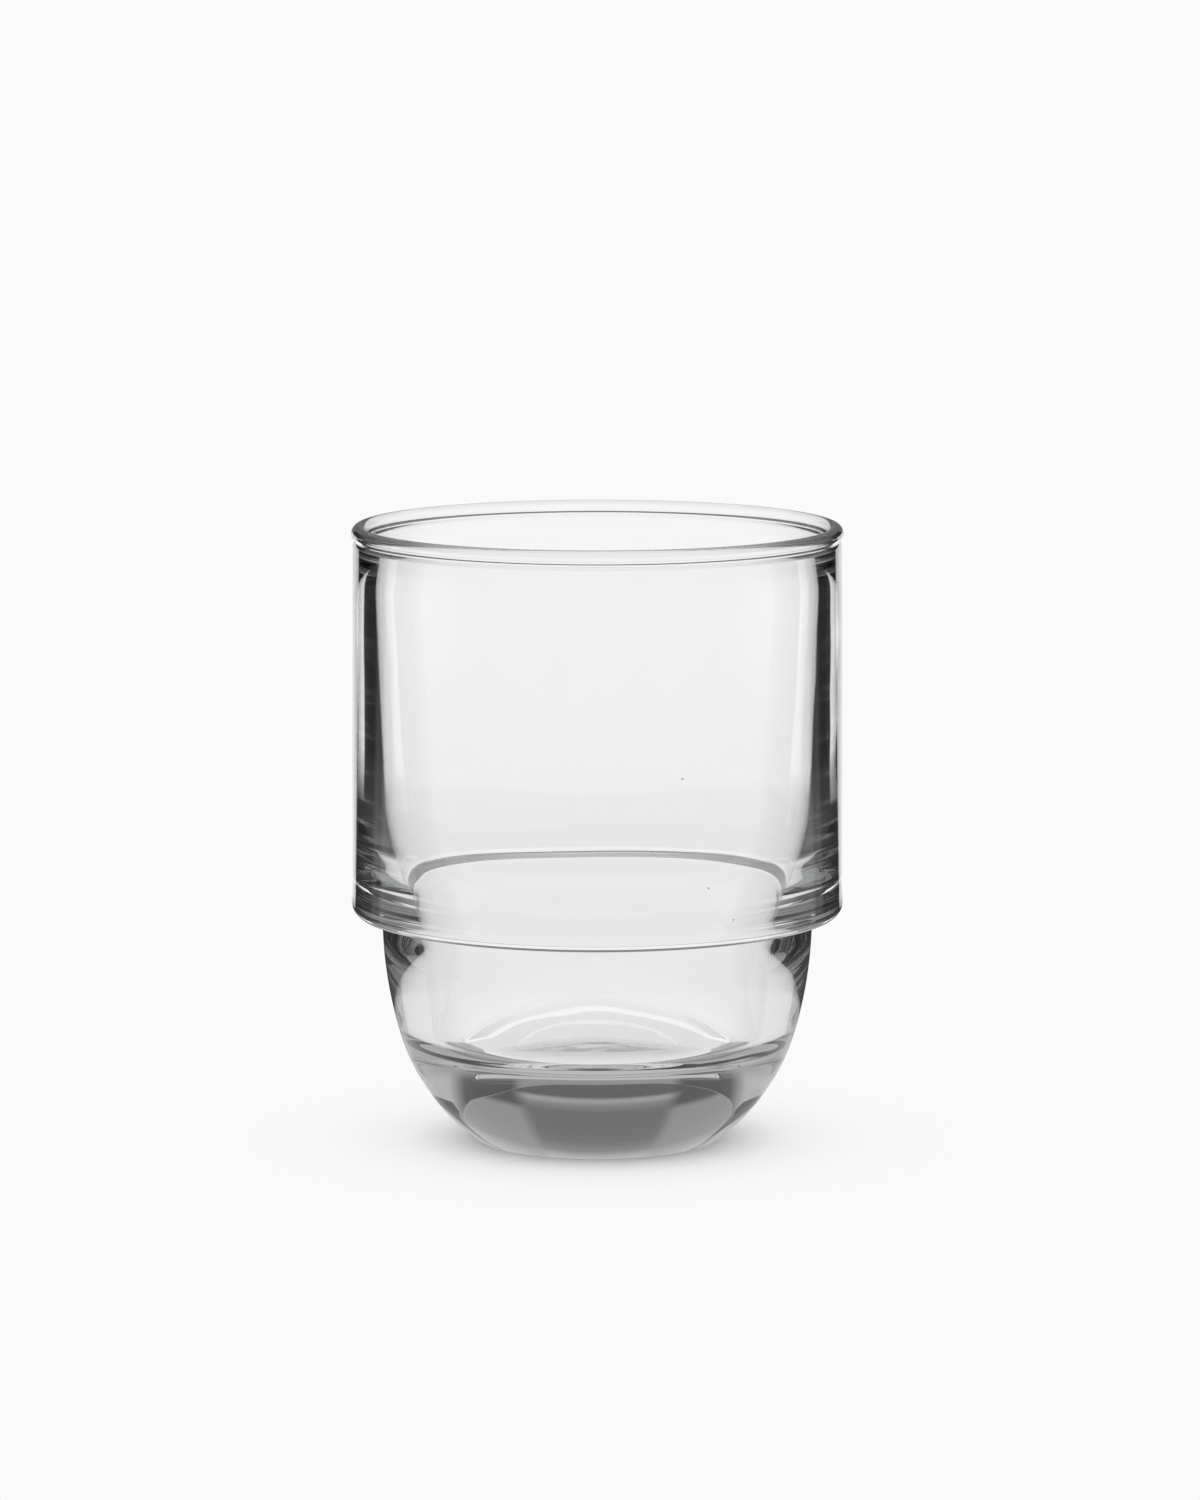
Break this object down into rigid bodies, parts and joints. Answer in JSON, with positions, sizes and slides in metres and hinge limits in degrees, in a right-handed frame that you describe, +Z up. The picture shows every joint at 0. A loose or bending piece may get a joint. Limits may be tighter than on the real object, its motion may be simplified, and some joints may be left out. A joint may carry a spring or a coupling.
{
  "type": "stackable cortado glass",
  "caption": "Small clear pressed glass for short coffee: straight upper chamber with a round lip, a stacking shoulder, and a narrower round bowl on a thick base.",
  "frame": {"origin": "centre of the flat ring that the glass stands on", "axes": "+Z up through the mouth, on the glass's axis of revolution; +X and +Y are free, as the glass is round"},
  "size_m": [0.0687, 0.0688, 0.0866],
  "materials": {
    "clear_glass": "clear, fire-polished pressed soda-lime glass"
  },
  "bodies": {
    "root": {"glass": "clear_glass"}
  },
  "joints": []
}
